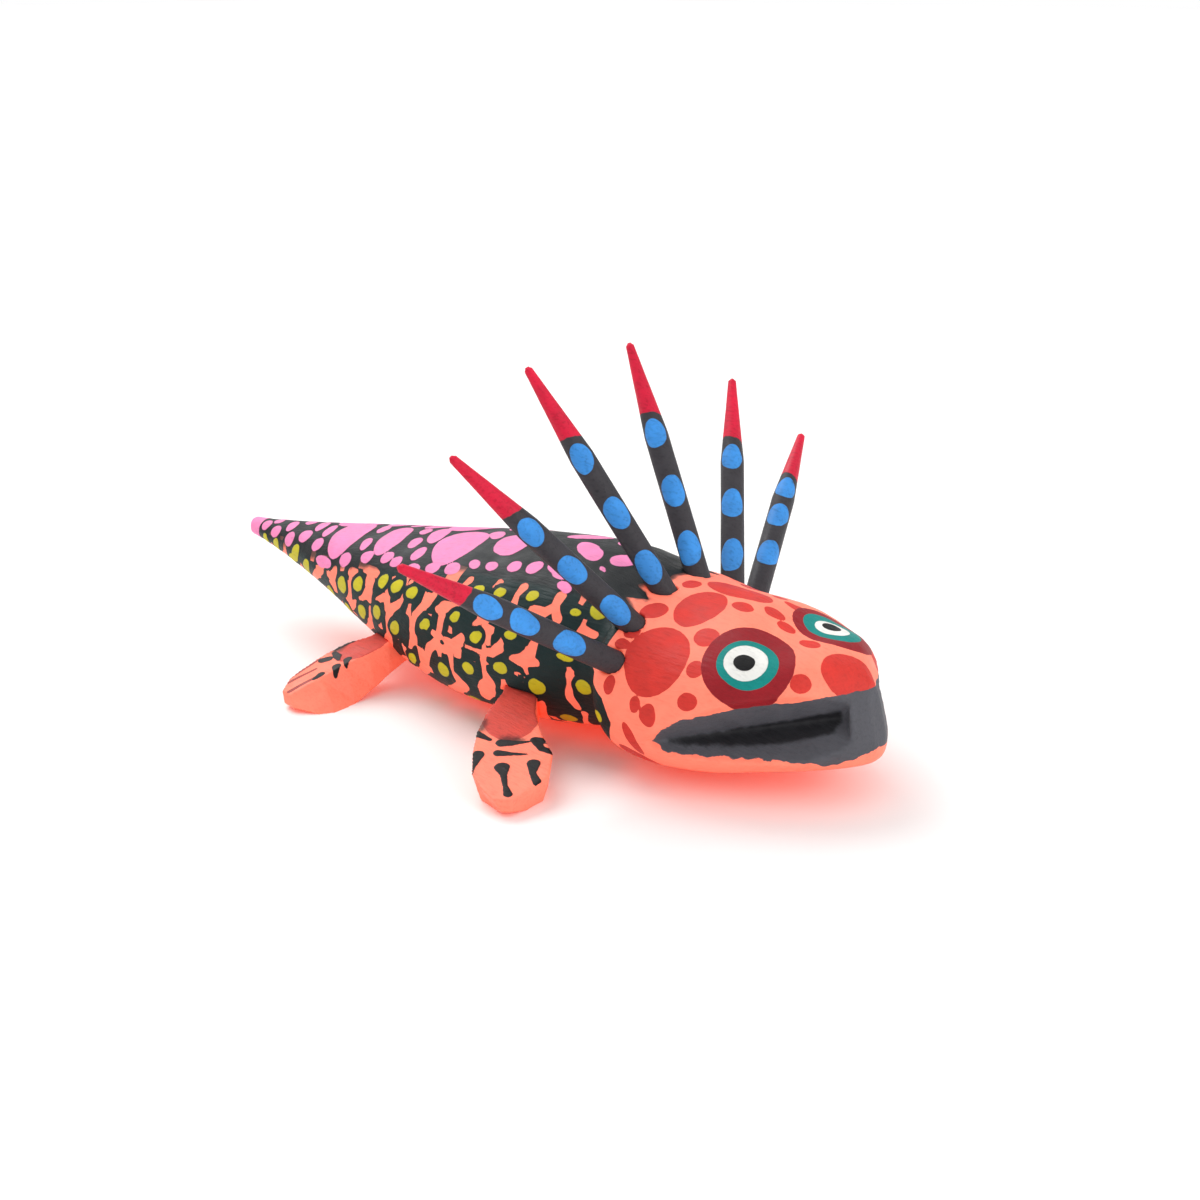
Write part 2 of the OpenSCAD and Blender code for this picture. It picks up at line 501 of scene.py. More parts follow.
class PaintBox:
    """The shader groups that every painted material shares, each built once."""

    def __init__(self) -> None:
        """Builds the groups."""
        self.look = PaintLook()
        self.edge = self._painted_edge()
        self.brush = self._brushed_paint()
        self.grain = self._wood_grain()

    @staticmethod
    def _painted_edge() -> Tree:
        """Returns the group that turns a distance into a mask with a hand-painted edge."""
        names = ("Distance", "Ragged", "Fineness", "Softness")
        group = ShaderGroup("Painted Edge", dict.fromkeys(names, "Float"), {"Mask": "Float"})
        distance, ragged, fineness, softness = (group.ends[name] for name in names)
        shake = group.noise(group.place, group.times(fineness, 1 / MM), SOME_DETAIL)
        strayed = group.plus(distance, group.times(group.less(shake, 0.5), group.times(ragged, 2.0)))
        mask = group.carry(strayed, group.times(softness, -1.0), softness, 1.0, 0.0, smooth=True)
        return group.close({"Mask": mask})

    def _brushed_paint(self) -> Tree:
        """Returns the group that varies a paint as a brush leaves it, thick, thin and streaky."""
        look = self.look
        group = ShaderGroup("Brushed Paint", {"Paint": "Color", "Streaks": "Float", "Mottle": "Float"},
                            {"Color": "Color", "Roughness": "Float", "Height": "Float"})
        streak_place = group.stretch(group.place, look.streak_stretch)
        streak = group.noise(streak_place, look.streak_scale / MM, MUCH_DETAIL)
        cloud = group.noise(group.place, look.cloud_scale / MM, SOME_DETAIL)
        grit = group.noise(group.place, look.grit_scale / MM, LITTLE_DETAIL)
        streaky = group.times(group.carry(streak, *look.streak_range, 0.0, 1.0), group.ends["Streaks"])
        dark = group.blend(streaky, group.ends["Paint"], Paint.NO_LIGHT.linear())
        cloudy = group.times(group.carry(cloud, *look.cloud_range, 0.0, 1.0), group.ends["Mottle"])
        height = group.plus(group.times(streak, look.streak_height), group.times(grit, look.grit_height))
        return group.close({
            "Color": group.blend(cloudy, dark, group.grow(group.ends["Paint"], look.cloud_light)),
            "Roughness": group.carry(cloud, *look.gloss_range, *look.roughness),
            "Height": height,
        })

    def _wood_grain(self) -> Tree:
        """Returns the group that gives the lines of the wood, drawn out along the figure."""
        group = ShaderGroup("Wood Grain", {"Fineness": "Float", "Depth": "Float"}, {"Height": "Float"})
        drawn = group.stretch(group.place, self.look.grain_stretch)
        fibre = group.noise(drawn, group.times(group.ends["Fineness"], 1 / MM), SOME_DETAIL)
        lines = group.carry(fibre, *self.look.grain_range, 0.0, 1.0)
        return group.close({"Height": group.times(lines, group.ends["Depth"])})


@dataclass(frozen=True)
class Coat:
    """One paint laid over what is under it.

    Args:
        paint: the paint.
        marks: the name of the distance field that says where it lies.
        ragged: how far its edge strays, in millimetres.
        fineness: how many times a millimetre the edge strays.
        softness: half the width of the edge, in millimetres.
        cover: how well it hides what is under it, up to 1.
        relief: how thick it stands, in millimetres.
    """

    paint: Paint
    marks: str
    ragged: float = 0.1
    fineness: float = 1.6
    softness: float = 0.05
    cover: float = 1.0
    relief: float = 0.02


@dataclass(frozen=True)
class PaintedFinish:
    """A painted surface: a ground colour with coats over it, on carved wood.

    Args:
        name: the material's name.
        ground: the paint under all the coats.
        coats: the coats, in the order that they are laid.
        glow: strength of the painted glow that the ground gives off by itself, for its fluorescent pigment.
        streaks: how strongly the brush shows in the colour.
        mottle: how strongly the paint clouds.
        grain: depth of the wood's lines, in millimetres.
    """

    name: str
    ground: Paint
    coats: tuple[Coat, ...] = ()
    glow: float = 0.0
    streaks: float = 0.2
    mottle: float = 0.3
    grain: float = 0.03

    def make(self, box: PaintBox) -> Material:
        """Builds the material.

        Args:
            box: the shared shader groups.

        Returns:
            The material.
        """
        material = bpy.data.materials.new(self.name)
        material.use_nodes = True
        wires = Wires(material.node_tree)
        colour: object = self.ground.linear()
        # Painted glow: the ground gives off light of its own in the glow colour, hidden wherever a coat
        # covers it.
        light: object = Paint.GLOW.linear()
        relief: object = 0.0
        for coat in self.coats:
            mask = self._mask(wires, box, coat)
            light = wires.blend(mask, light, Paint.NO_LIGHT.linear())
            colour = wires.blend(wires.times(mask, coat.cover), colour, coat.paint.linear())
            relief = wires.plus(relief, wires.times(mask, coat.relief))
        brush_feeds = {"Paint": colour, "Streaks": self.streaks, "Mottle": self.mottle}
        brush = wires.add("ShaderNodeGroup", brush_feeds, node_tree=box.brush).outputs
        grain_feeds = {"Fineness": box.look.grain_scale, "Depth": self.grain}
        grain = wires.add("ShaderNodeGroup", grain_feeds, node_tree=box.grain).outputs
        height = wires.plus(relief, wires.times(brush["Height"], box.look.brush_depth))
        height = wires.plus(height, grain["Height"])
        bump = wires.add("ShaderNodeBump", {"Strength": 1.0, "Distance": MM, "Height": height})
        shader_feeds = {
            "Normal": bump.outputs["Normal"],
            "Base Color": brush["Color"],
            "Roughness": brush["Roughness"],
            "Specular IOR Level": box.look.shine,
        }
        if self.glow > 0:
            shader_feeds |= {"Emission Color": light, "Emission Strength": self.glow}
        wires.fill(wires.tree.nodes["Principled BSDF"], shader_feeds)
        return material

    @staticmethod
    def _mask(wires: Wires, box: PaintBox, coat: Coat) -> Socket:
        """Returns where a coat lies, from its own distance field."""
        marks = wires.add("ShaderNodeAttribute", attribute_name=coat.marks)
        feeds = {
            "Distance": marks.outputs["Fac"],
            "Ragged": coat.ragged,
            "Fineness": coat.fineness,
            "Softness": coat.softness,
        }
        return wires.add("ShaderNodeGroup", feeds, node_tree=box.edge).outputs["Mask"]


def show(name: str, data: bpy.types.ID) -> Piece:
    """Returns a new object, put in the scene."""
    shown = bpy.data.objects.new(name, data)
    bpy.context.scene.collection.objects.link(shown)
    return shown


def modified(name: str, start: Mesh, kind: str, settings: Feeds, inputs: Feeds) -> Mesh:
    """Returns a mesh as a modifier leaves it.

    Args:
        name: the new mesh's name.
        start: the mesh that it starts from.
        kind: the modifier's kind.
        settings: its properties.
        inputs: the inputs of its node group by their identifiers.
    """
    holder = show(name, start)
    modifier = holder.modifiers.new(name, kind)
    for key, value in settings.items():
        setattr(modifier, key, value)
    for key, value in inputs.items():
        modifier[key] = value
    bpy.context.view_layer.update()
    graph = bpy.context.evaluated_depsgraph_get()
    mesh = bpy.data.meshes.new_from_object(holder.evaluated_get(graph), depsgraph=graph)
    mesh.name = name
    bpy.data.objects.remove(holder)
    return mesh


class GeometryTree(Wires):
    """A Geometry Nodes tree with named inputs, run on a fresh object and kept as a plain mesh."""

    def __init__(self, name: str, sizes: dict[str, float]) -> None:
        """Makes the tree's ends.

        Args:
            name: the tree's name.
            sizes: its inputs and their values.
        """
        super().__init__(bpy.data.node_groups.new(name, "GeometryNodeTree"))
        self.sizes = sizes
        self.name_ends("INPUT", {"Geometry": "Geometry"} | dict.fromkeys(sizes, "Float"))
        self.name_ends("INPUT", {"Material": "Material"})
        self.name_ends("OUTPUT", {"Geometry": "Geometry"})
        self.ends = self.add("NodeGroupInput").outputs

    def push(self, geometry: Socket, amount: Socket) -> Socket:
        """Returns a geometry pushed out along its normals by an amount."""
        offset = self.grow(self.add("GeometryNodeInputNormal").outputs[0], amount)
        return self.add("GeometryNodeSetPosition", {"Geometry": geometry, "Offset": offset}).outputs[0]

    def close(self, geometry: Socket) -> None:
        """Ends the tree with Realize Instances and Set Material."""
        real = self.add("GeometryNodeRealizeInstances", {0: geometry}).outputs[0]
        dress = self.add("GeometryNodeSetMaterial", {"Geometry": real, "Material": self.ends["Material"]})
        self.add("NodeGroupOutput", {0: dress.outputs[0]})

    def run(self, name: str, start: Mesh, sizes: dict[str, float], material: Material) -> Mesh:
        """Runs the tree and returns what it makes as a plain mesh.

        Args:
            name: the new mesh's name.
            start: the mesh that it starts from.
            sizes: the inputs that differ from the tree's own.
            material: what it is dressed in.

        Returns:
            The mesh.
        """
        values: dict[str, object] = {key: float(value) for key, value in (self.sizes | sizes).items()}
        values["Material"] = material
        sockets = [item for item in self.tree.interface.items_tree if item.in_out == "INPUT"]
        inputs = {item.identifier: values[item.name] for item in sockets if item.name in values}
        return modified(name, start, "NODES", {"node_group": self.tree}, inputs)


class CarvingTree(GeometryTree):
    """Leaves the shallow flats and hollows of a knife on a solid."""

    STRETCH = (1.0, 0.55, 1.0)
    ROUNDING = 0.25
    FACET_MIDDLE = 0.45
    NICK_MIDDLE = 0.5

    def __init__(self) -> None:
        """Builds the tree."""
        super().__init__("Knife Carving", {
            "Facet Size": 0.004, "Facet Depth": 0.0001, "Nick Size": 0.0012, "Nick Depth": 0.00003,
            "Seed": 3.0,
        })
        ends = self.ends
        drawn = self.stretch(self.add("GeometryNodeInputPosition").outputs[0], self.STRETCH)
        facet_scale = self.calc("DIVIDE", 1.0, ends["Facet Size"])
        facet_feeds = {"Vector": drawn, "Scale": facet_scale, "W": ends["Seed"], "Smoothness": self.ROUNDING}
        facets = self.add("ShaderNodeTexVoronoi", facet_feeds, voronoi_dimensions="4D", feature="SMOOTH_F1")
        nick_scale = self.calc("DIVIDE", 1.0, ends["Nick Size"])
        nick_feeds = {"Vector": drawn, "Scale": nick_scale, "W": ends["Seed"]}
        nicks = self.add("ShaderNodeTexNoise", nick_feeds, noise_dimensions="4D")
        deep = self.times(self.less(facets.outputs["Distance"], self.FACET_MIDDLE), ends["Facet Depth"])
        fine = self.times(self.less(nicks.outputs["Fac"], self.NICK_MIDDLE), ends["Nick Depth"])
        self.close(self.push(ends["Geometry"], self.plus(deep, fine)))


class RodTree(GeometryTree):
    """Whittles a straight rod along z: round, tapered to its tip and slightly uneven."""

    POINTS = 200
    SIDES = 48
    BLUNT = 0.45
    STRETCH = (1.0, 1.0, 0.35)
    SCALE = 0.6
    MIDDLE = 0.62

    def __init__(self) -> None:
        """Builds the tree."""
        super().__init__("Whittled Rod", {
            "Length": 0.04, "Radius": 0.0015, "Tip Radius": 0.0005, "Taper": 0.0125, "Tip Round": 0.0004,
            "Unevenness": 0.00006, "Seed": 1.0,
        })
        ends = self.ends
        top = self.add("ShaderNodeCombineXYZ", {"Z": ends["Length"]}).outputs[0]
        line = self.add("GeometryNodeCurvePrimitiveLine", {"End": top}).outputs[0]
        fine = self.add("GeometryNodeResampleCurve", {"Curve": line, "Count": self.POINTS}).outputs[0]
        run = self.times(self.add("GeometryNodeSplineParameter").outputs["Factor"], ends["Length"])
        shoulder = self.less(ends["Length"], ends["Taper"])
        taper = self.carry(run, shoulder, ends["Length"], ends["Radius"], ends["Tip Radius"])
        left = self.less(ends["Length"], run)
        blunt = self.carry(left, 0.0, ends["Tip Round"], self.BLUNT, 1.0, smooth=True)
        ring = self.add("GeometryNodeCurvePrimitiveCircle", {"Resolution": self.SIDES, "Radius": 1.0})
        tube = self.add("GeometryNodeCurveToMesh", {
            "Curve": fine, "Profile Curve": ring.outputs["Curve"], "Scale": self.times(taper, blunt),
            "Fill Caps": True,
        })
        place = self.stretch(self.add("GeometryNodeInputPosition").outputs[0], self.STRETCH)
        shake_feeds = {"Vector": place, "W": ends["Seed"], "Scale": self.SCALE / MM}
        shake = self.add("ShaderNodeTexNoise", shake_feeds, noise_dimensions="4D").outputs["Fac"]
        self.close(self.push(tube.outputs[0], self.times(self.less(shake, self.MIDDLE), ends["Unevenness"])))


# Meshes

WELD = 0.001
# The two steps of the smoothing, which together keep a mesh from shrinking.
SAND_OFF = 0.5
SAND_BACK = -0.53


def read_vectors(rows: bpy.types.bpy_prop_collection, name: str) -> Array:
    """Returns one vector for every row of a mesh's data."""
    flat = np.empty(len(rows) * 3, np.float32)
    rows.foreach_get(name, flat)
    return flat.reshape(-1, 3).astype(float)


def vertex_places(mesh: Mesh) -> Array:
    """Returns the places of a mesh's vertices in millimetres."""
    return read_vectors(mesh.vertices, "co") / MM


def vertex_normals(mesh: Mesh) -> Array:
    """Returns the outward direction at each of a mesh's vertices."""
    return read_vectors(mesh.vertex_normals, "vector")


def set_places(mesh: Mesh, places: Array) -> None:
    """Moves a mesh's vertices to places in millimetres."""
    mesh.vertices.foreach_set("co", (places * MM).astype(np.float32).ravel())
    mesh.update()


def fine_copy(node: Piece, voxel: float) -> Mesh:
    """Returns a node's solid as an even mesh of small faces.

    Args:
        node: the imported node, which isn't changed.
        voxel: the size of a face in millimetres.
    """
    mesh = node.data.copy()
    work = bmesh.new()
    work.from_mesh(mesh)
    bmesh.ops.remove_doubles(work, verts=work.verts, dist=WELD * MM)
    work.to_mesh(mesh)
    work.free()
    mesh.materials.clear()
    return modified("fine_copy", mesh, "REMESH", {"mode": "VOXEL", "voxel_size": voxel * MM}, {})


def sand(mesh: Mesh, strength: Array, rounds: int) -> None:
    """Smooths a mesh as sandpaper does.

    Args:
        mesh: the mesh.
        strength: how much each vertex gives way, from 0 to 1.
        rounds: how often it is gone over.
    """
    ends = np.empty(len(mesh.edges) * 2, np.int32)
    mesh.edges.foreach_get("vertices", ends)
    first, second = ends[::2], ends[1::2]
    count = len(mesh.vertices)
    links = np.bincount(first, minlength=count) + np.bincount(second, minlength=count)
    places = vertex_places(mesh)
    for step in range(rounds):
        total = np.zeros_like(places)
        for axis in range(3):
            total[:, axis] += np.bincount(first, places[second, axis], count)
            total[:, axis] += np.bincount(second, places[first, axis], count)
        way = total / links[:, None] - places
        keep = SAND_BACK if step % 2 else SAND_OFF
        places += way * (strength * keep)[:, None]
    set_places(mesh, places)


def add_piece(mesh: Mesh, places: Array, fields: Fields, body: str, node: str) -> None:
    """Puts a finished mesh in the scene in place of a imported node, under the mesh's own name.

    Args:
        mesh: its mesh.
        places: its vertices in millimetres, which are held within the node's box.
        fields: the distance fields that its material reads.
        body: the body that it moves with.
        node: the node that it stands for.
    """
    low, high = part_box(node)
    set_places(mesh, np.clip(places, np.array(low) / MM, np.array(high) / MM))
    for name, values in fields.items():
        mesh.attributes.new(name, "FLOAT", "POINT").data.foreach_set("value", values.astype(np.float32))
    mesh.shade_smooth()
    piece = show(mesh.name, mesh)
    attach(piece, body)
    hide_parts(node)
    LOG.info("%s: %d faces, rides on %s", piece.name, len(mesh.polygons), body)


def ease(values: Array, width: float) -> Array:
    """Returns 1 well inside a mark and 0 outside it, easing over a width in millimetres."""
    share = np.clip(0.5 - values / width, 0, 1)
    return share * share * (3 - 2 * share)


# The painted body


@dataclass(frozen=True)
class BackMarks:
    """The pink spots on the dark back, on the right side of the body.

    Args:
        spots: the spots.
        slide: how far along the left side's row lies from the right side's, in millimetres.
        lower: how far below it, in degrees.
        stray: how far each of its spots strays, in millimetres.
        ridge: the angle within which a spot lies on the ridge and isn't repeated on the left.
        wobble: how uneven the outlines are.
    """

    spots: tuple[Spot, ...] = ovals(
        (-18.0, 9, 3.2, 3.4), (-12.4, 9, 7.0, 2.9, -38), (-17.4, 25, 1.5, 0.6, -30),
        (-12.0, 36, 4.2, 1.5, -22), (-14.8, 44.5, 2.5, 1.4, -20), (-8.5, 37, 2.2, 2.6),
        (-5.5, 39, 2.3, 1.9, -35), (-1.8, 41.5, 2.3, 1.5, -15), (1.1, 42.5, 2.2, 1.5, -20),
        (-0.9, 17, 7.6, 4.7, -52), (4.3, 4, 4.2, 2.2, -50), (4.3, 49, 2.7, 2.1), (7.7, 25, 10.0, 7.4, -72),
        (8.0, 50.5, 2.6, 1.9), (12.8, 41.5, 2.3, 2.7), (13.9, 12, 5.8, 2.9, -62), (11.4, 54, 2.6, 1.3),
        (15.7, 30, 3.0, 2.0, -60), (15.7, 53, 2.3, 1.8), (18.1, 51, 2.3, 2.1), (21.0, 26, 7.8, 4.4, -75),
        (22.5, 54, 2.5, 2.1), (24.7, 41.5, 2.7, 1.9, -70), (26.9, 63.5, 2.8, 2.1),
        (30.0, 30, 8.6, 6.3, -80), (31.8, 74, 4.4, 1.7), (35.2, 25, 3.0, 1.9, -80), (35.4, 55, 2.5, 2.1),
        (39.3, 47, 2.6, 2.3), (43.0, 62, 2.4, 2.2), (44.3, 24, 2.6, 2.0, -75), (47.0, 57, 2.2, 2.0),
        (49.8, 43, 1.9, 1.9), (17.3, 8, 2.8, 1.7, -60), (25.5, 8, 3.2, 1.8, -65), (38.2, 12, 3.2, 2.0, -70),
        (41.6, 4, 2.0, 1.7), (48.0, 12, 1.8, 1.5),
    )
    slide: float = 3.9
    lower: float = 7.0
    stray: float = 0.4
    ridge: float = 6.0
    wobble: float = 0.07


@dataclass(frozen=True)
class FlankMarks:
    """The yellow dots on the right flank and the coral lines left between the dark patches round them.

    Args:
        dots: the yellow dots.
        gaps: the coral lines.
        band: points of (along, angle) on the lower edge of the blacker band above the flank.
        smears: black brush marks between the rods.
        belly_angle: the angle from the ridge where the dark patches end.
        lobes: waves of that edge, each with its height in degrees, turns in a millimetre and start.
        rim: width of the dark rim round a yellow dot, in millimetres.
        swell: how much narrower a line is near a dot, in millimetres.
        swell_reach: how near, in millimetres.
        swell_ease: the distance over which that eases.
        dot_stray: how far each dot strays on the left, in millimetres.
        gap_stray: the same for the lines.
        wobble: how uneven the dots' outlines are.
    """

    dots: tuple[Spot, ...] = ovals(
        (-20.8, 52.5, 2.5, 1.9, -8), (-18.2, 56, 1.4, 1.0), (-11.2, 54, 1.9, 1.4, 35),
        (-6.2, 56, 2.0, 1.3, 20), (-2.5, 57, 1.8, 1.1, 12), (-18.4, 79, 2.4, 1.0), (-10.1, 75, 2.1, 1.1, 5),
        (-4.5, 80.5, 2.1, 1.5, 28), (-0.1, 74.3, 2.1, 1.2, 28), (5.7, 84.3, 2.4, 1.3, 32),
        (9.5, 69.3, 2.4, 1.6, 20), (12.9, 68.6, 2.4, 1.8, 15), (12.5, 95.4, 2.4, 1.8, 45),
        (-21.2, 92.5, 2.4, 1.9, 12), (-14.4, 97.6, 2.5, 2.2), (-8.4, 93, 2.2, 1.6),
        (-2.7, 99, 2.1, 1.6, 10), (2.2, 105.7, 2.4, 2.0, 30), (-16.9, 119.7, 2.8, 2.0, 30),
        (-25.4, 99, 1.8, 1.5), (9.3, 111, 2.9, 1.4, 50), (16.4, 69, 2.3, 1.8, 30), (22.2, 78, 2.4, 2.0, 35),
        (26.4, 86.5, 2.6, 2.2, 50), (16.9, 92, 2.2, 1.8, 40), (21.0, 100, 2.4, 1.9, 45),
        (30.7, 106, 2.2, 1.8, 50), (37.2, 96, 3.0, 1.8, 60), (40.5, 84, 2.8, 2.0, 65),
        (41.8, 103, 2.4, 1.6, 60), (33.0, 122, 2.4, 1.5, 50), (26.0, 112, 2.2, 1.8, 50),
        (46.4, 95, 2.2, 1.6, 60), (49.4, 100, 1.9, 1.4, 70), (-9.0, 128, 2.4, 1.8, 30),
        (-1.0, 124, 2.4, 1.8, 30), (6.5, 128, 2.3, 1.8, 30), (20.0, 125, 2.2, 1.6, 40),
        (-22.0, 122, 2.3, 1.8, 20),
    )
    gaps: tuple[Stroke, ...] = brushed(
        ((-15.2, 50, 0.9), (-15.2, 56, 0.7), (-16.4, 61.5, 0.9)),
        ((-15.2, 56, 0.7), (-13.6, 62, 0.8)),
        ((-13.9, 74.5, 0.5), (-13.4, 81, 1.0), (-12.4, 85.5, 1.5), (-10.2, 86.6, 0.3)),
        ((-14.3, 85.5, 0.5), (-12.4, 86, 1.3)),
        ((-12.4, 87, 0.5), (-13.1, 94, 0.35), (-12.7, 101, 0.3)),
        ((-9.4, 50.5, 1.1), (-9.0, 55, 0.7), (-9.2, 60, 0.9)),
        ((-5.3, 51.5, 1.2), (-4.8, 54, 0.7), (-5.1, 58, 0.3)),
        ((-0.3, 54, 0.9), (0.2, 57, 0.4)),
        ((-20.4, 46.5, 1.0), (-21.8, 48, 0.4)),
        ((-21.8, 64.5, 0.5), (-20.3, 63.5, 1.0)),
        ((-19.4, 88.5, 1.2), (-19.1, 94, 0.8), (-19.0, 101, 0.9), (-19.5, 107, 0.4)),
        ((-20.1, 112, 0.4), (-18.9, 122, 0.6), (-17.6, 134, 0.8)),
        ((-9.0, 75.5, 0.5), (-8.5, 83, 1.1), (-7.3, 86.5, 1.0), (-5.0, 87.5, 0.5), (-2.7, 87, 0.4)),
        ((-5.0, 71.5, 0.8), (-3.7, 75, 0.6)),
        ((-5.8, 88, 0.8), (-5.8, 97, 0.5), (-6.3, 103, 1.6), (-5.6, 107, 2.4), (-4.6, 114, 1.0)),
        ((-14.6, 107, 0.5), (-13.6, 112, 1.6), (-12.0, 122, 2.6)),
        ((-1.9, 83.5, 1.0), (-0.4, 89.5, 1.3), (1.7, 94, 0.7), (2.9, 92.5, 0.4)),
        ((0.4, 96, 0.7), (0.3, 104, 0.5), (-0.9, 112, 1.8), (1.5, 121, 2.2), (4.5, 134, 1.6)),
        ((0.3, 68.5, 0.7), (2.3, 72, 1.5), (3.4, 73.5, 0.4)),
        ((2.1, 75, 1.0), (2.7, 85, 0.6), (3.2, 91, 0.9), (4.6, 96, 1.0), (5.4, 103, 0.7), (7.0, 113, 1.6),
         (10.0, 126, 1.8)),
        ((4.8, 66.5, 0.4), (5.8, 72, 1.2), (7.7, 81, 0.9), (8.1, 88, 0.6), (8.4, 98, 0.7),
         (10.5, 112, 0.6), (13.0, 122, 0.8)),
        ((10.4, 64, 0.9), (11.2, 76, 0.7), (13.0, 83, 1.2), (14.2, 92, 1.1), (14.1, 104, 1.1),
         (15.4, 113, 1.2)),
        ((15.3, 78.5, 1.1), (16.8, 83, 0.9)),
        ((14.2, 64, 0.5), (15.0, 66.5, 0.8)),
        ((18.2, 65.5, 1.0), (21.3, 65, 0.9)),
        ((18.6, 71, 0.7), (19.3, 80, 1.6), (21.2, 88.5, 0.9)),
        ((23.1, 70, 0.9), (24.6, 72, 0.9)),
        ((24.1, 77, 0.9), (24.3, 90, 1.1), (26.0, 101, 0.9), (27.5, 112, 1.0)),
        ((18.6, 92, 0.9), (18.9, 103, 0.8), (20.8, 114, 0.9), (23.5, 128, 1.0)),
        ((22.6, 95, 0.9), (25.0, 107, 0.8)),
        ((28.5, 78, 1.1), (29.4, 92, 1.4), (30.6, 101, 0.9), (33.0, 114, 1.0)),
        ((32.4, 85, 0.7), (34.6, 98, 1.0), (36.6, 114, 0.8)),
        ((36.6, 80, 0.7), (38.3, 96, 0.9), (40.2, 114, 0.9)),
        ((42.6, 87, 0.5), (44.2, 106, 0.8), (45.6, 120, 0.8)),
        ((46.4, 84, 0.5), (47.6, 104, 0.6), (48.6, 118, 0.7)),
    )
    band: Line = (
        (-30, 46), (-10, 47), (5, 50), (12, 57), (20, 62), (28, 72), (36, 78), (46, 84), (54, 90),
    )
    smears: tuple[Stroke, ...] = brushed(
        ((-21.6, 32, 3.0), (-23.8, 33, 1.6), (-25.2, 34.5, 0.3)),
        ((-23.0, 14, 2.4), (-25.4, 17, 0.8)),
        ((-24.0, -33, 2.0), (-26.0, -35, 0.5)),
    )
    belly_angle: float = 131.0
    lobes: tuple[Triple, ...] = ((5, 1.25, 0), (2.5, 2.9, 1))
    rim: float = 0.7
    swell: float = 0.3
    swell_reach: float = 1.6
    swell_ease: float = 1.2
    dot_stray: float = 0.5
    gap_stray: float = 0.35
    wobble: float = 0.1


@dataclass(frozen=True)
class EyeRings:
    """The rings of a painted eye, from the outermost to the pupil."""

    maroon: Spot
    teal: Spot
    white: Spot
    pupil: Spot


@dataclass(frozen=True)
class HeadMarks:
    """The red spots on the head, the two eyes and the painted mouth.

    The left eye sits further forward than the right one, and a little higher. Each edge of the mouth and of
    the painted shade deep in its groove is a line of points of (along, height), from front to back.
    """

    spots: tuple[Spot, ...] = ovals(
        (-31.4, 69.5, 7.8, 9.5), (-31.7, 27, 5.5, 7.8), (-35.6, 51, 3.3, 2.9), (-36.8, 70, 2.2, 2.3),
        (-37.5, 85, 2.5, 2.1), (-33.0, 93.5, 2.1, 2.9), (-30.9, 90, 1.4, 2.0), (-30.6, 106, 4.8, 1.4, -68),
        (-27.2, 42, 2.8, 3.4, -45), (-27.3, 5, 2.3, 2.5), (-35.8, 12, 2.9, 2.1), (-39.0, -2, 2.9, 2.0),
        (-41.3, 7, 2.5, 1.8), (-45.0, 16, 2.6, 2.1), (-33.0, -11, 9.0, 4.6, 4), (-50.9, 30, 7.4, 6.0, 35),
        (-47.8, 67, 2.5, 2.3), (-26.6, 58, 2.2, 2.0, 60), (-26.9, 76, 2.2, 2.8), (-27.2, 84, 1.5, 2.4),
        (-39.0, -30, 3.4, 1.6, 20), (-30.0, 118, 5.4, 3.0, -40), (-26.6, 66, 1.8, 1.5),
    )
    left_spots: tuple[Spot, ...] = ovals(
        (-31.2, -72, 7.2, 8.8), (-31.4, -43, 4.6, 4.4), (-36.6, -58, 2.6, 2.8), (-37.6, -80, 2.4, 2.0),
        (-33.4, -95, 2.2, 2.6), (-30.2, -92, 1.4, 2.4), (-31.0, -106, 4.8, 1.4, 62), (-27.2, -52, 3.0, 3.4),
        (-26.9, -78, 2.0, 2.2), (-49.6, -70, 3.6, 3.2), (-44.6, -82, 2.2, 2.0), (-41.0, -84, 2.0, 1.6),
        (-27.0, -66, 2.0, 1.6), (-30.0, -120, 5.2, 2.8, 40), (-36.2, -33, 2.2, 1.8),
    )
    eyes: tuple[EyeRings, ...] = (
        EyeRings(*ovals((-41.9, 59, 10.8, 11.2), (-42.0, 60.5, 7.2, 6.7), (-41.6, 59.8, 5.1, 4.9),
                        (-41.5, 61, 2.5, 2.2))),
        EyeRings(*ovals((-44.4, -37.5, 10.8, 9.4), (-44.1, -37, 7.6, 6.4), (-44.3, -37.2, 4.3, 4.0),
                        (-44.0, -39, 2.4, 2.1))),
    )
    upper_lip: Line = (
        (-54.5, 14.0), (-52.6, 14.0), (-49.8, 13.7), (-47.7, 13.1), (-45.4, 13.0), (-42.0, 12.1),
        (-39.6, 11.3), (-36.8, 10.5), (-34.4, 8.8), (-33.0, 7.0),
    )
    lower_lip: Line = (
        (-54.2, 7.1), (-53.0, 6.4), (-51.5, 5.7), (-50.5, 5.6), (-49.6, 6.3), (-47.0, 6.3), (-42.0, 6.2),
        (-35.1, 6.0), (-33.1, 6.8),
    )
    # Edges of the painted shade laid deep in the mouth's groove.
    throat_top: Line = ((-50.35, 11.4), (-45.0, 9.9), (-40.0, 8.6), (-34.6, 7.3))
    throat_floor: Line = (
        (-50.35, 9.0), (-48.0, 8.2), (-44.0, 7.4), (-38.0, 6.9), (-34.6, 7.0),
    )
    spot_wobble: float = 0.05
    eye_wobble: float = 0.03


